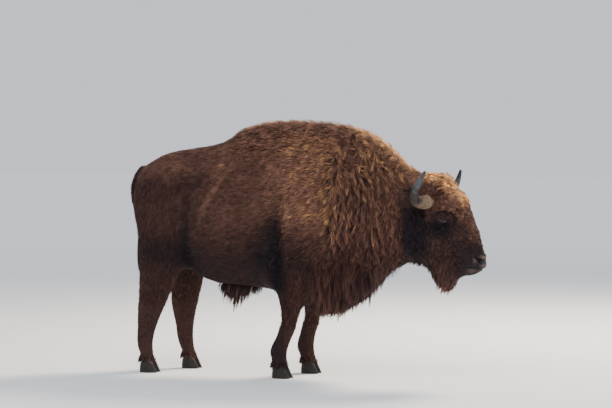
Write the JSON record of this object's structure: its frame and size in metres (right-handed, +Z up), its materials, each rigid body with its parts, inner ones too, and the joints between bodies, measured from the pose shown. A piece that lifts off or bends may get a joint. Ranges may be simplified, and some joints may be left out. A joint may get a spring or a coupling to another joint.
{
  "type": "wisent",
  "caption": "Standing European bison bull, a still life-size model with hump, mane, beard and short upcurved horns.",
  "frame": {"origin": "middle of the standing animal's outline seen from above, at the level of the hoof soles", "axes": "+X from rump towards the head, +Y towards the animal's left side, +Z up"},
  "size_m": [2.7598, 0.742, 1.8221],
  "materials": {
    "coat": "dense brown hair over hide",
    "muzzle_skin": "short black hair, moist bare nose",
    "horn": "horn, rough and tan at the base, smooth and grey to the tip",
    "hoof": "dark horn of the hooves",
    "eye": "wet dark brown eye"
  },
  "bodies": {
    "root": {"trunk": "coat", "neck": "coat", "head": "coat", "muzzle": "muzzle_skin", "beard": "coat", "fore_leg_upper_left": "coat", "fore_leg_upper_right": "coat", "fore_leg_lower_left": "coat", "fore_leg_lower_right": "coat", "hind_leg_upper_left": "coat", "hind_leg_upper_right": "coat", "hind_leg_lower_left": "coat", "hind_leg_lower_right": "coat", "ear_left": "coat", "ear_right": "coat", "tail": "coat", "tail_tuft": "coat", "horn_left": "horn", "eye_left": "eye", "hoof_fore_left_inner": "hoof", "dewclaw_fore_left_inner": "hoof", "hoof_fore_left_outer": "hoof", "dewclaw_fore_left_outer": "hoof", "hoof_hind_left_inner": "hoof", "dewclaw_hind_left_inner": "hoof", "hoof_hind_left_outer": "hoof", "dewclaw_hind_left_outer": "hoof", "horn_right": "horn", "eye_right": "eye", "hoof_fore_right_inner": "hoof", "dewclaw_fore_right_inner": "hoof", "hoof_fore_right_outer": "hoof", "dewclaw_fore_right_outer": "hoof", "hoof_hind_right_inner": "hoof", "dewclaw_hind_right_inner": "hoof", "hoof_hind_right_outer": "hoof", "dewclaw_hind_right_outer": "hoof"}
  },
  "joints": []
}
